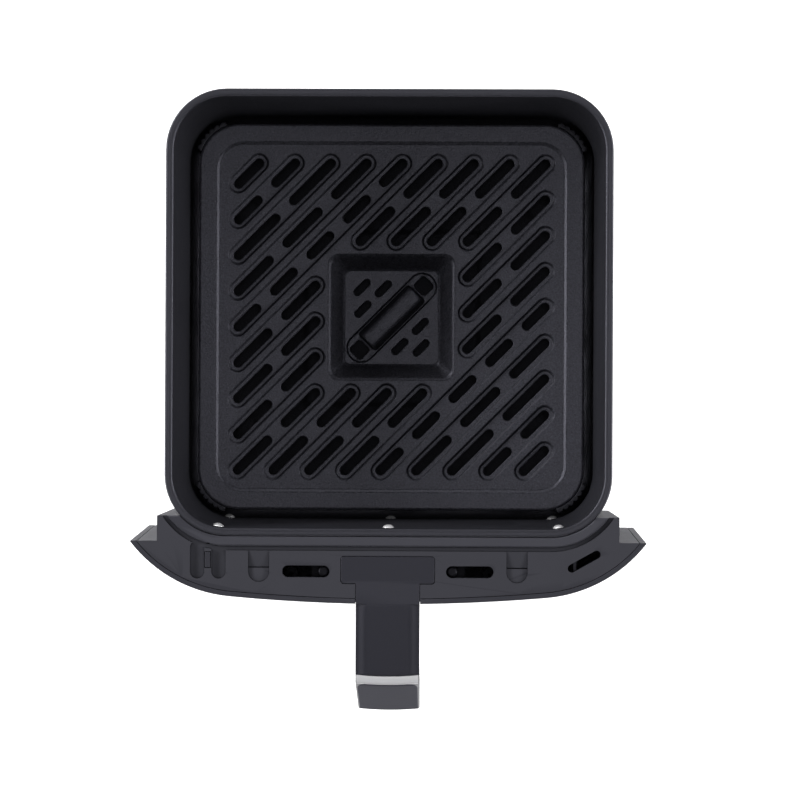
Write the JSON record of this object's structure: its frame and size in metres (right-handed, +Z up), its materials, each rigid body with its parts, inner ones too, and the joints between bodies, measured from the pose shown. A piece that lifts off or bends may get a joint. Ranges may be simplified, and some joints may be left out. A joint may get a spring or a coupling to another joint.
{
  "type": "air fryer drawer",
  "caption": "Square air-fryer drawer: coated pan, slotted lift-out crisper plate with a finger bar, curved front panel and a fixed hook handle.",
  "frame": {"origin": "under the middle of the pan, on the surface it stands on", "axes": "+Z up, the handle points to -Y, +X to the right of someone facing the handle"},
  "size_m": [0.287, 0.3533, 0.1014],
  "materials": {
    "pan": "satin non-stick coating on drawn steel",
    "rivet": "bright turned metal",
    "bracket": "black-coated pressed sheet",
    "stud": "darkened turned steel",
    "frame": "fine moulded texture",
    "skin": "fine moulded texture",
    "collar": "fine moulded texture",
    "handle": "smooth matte",
    "insert": "satin silver",
    "screw": "zinc-plated",
    "plate": "grained dark non-stick coating",
    "bumper": "moulded silicone"
  },
  "bodies": {
    "drawer": {"basket_pan": "pan", "wall_rivets": "rivet", "front_bracket": "bracket", "panel_frame": "frame", "panel_skin": "skin", "rim_collar": "collar", "panel_base": "frame", "base_screws": "screw", "frame_screws": "screw", "switch_tab": "frame", "deck_stud_left": "stud", "deck_stud_right": "stud", "handle_root_cover": "handle", "handle_cap": "handle", "handle_body": "handle", "handle_insert": "insert", "handle_screws": "screw"},
    "crisper": {"crisper_plate": "plate", "corner_bumper_rear_right": "bumper", "corner_bumper_rear_left": "bumper", "corner_bumper_front_left": "bumper", "corner_bumper_front_right": "bumper"}
  },
  "joints": [
    {"name": "crisper_lift", "type": "slide", "parent": "drawer", "child": "crisper", "axis": [0, 0, 1], "range_m": [0, 0.13]}
  ]
}
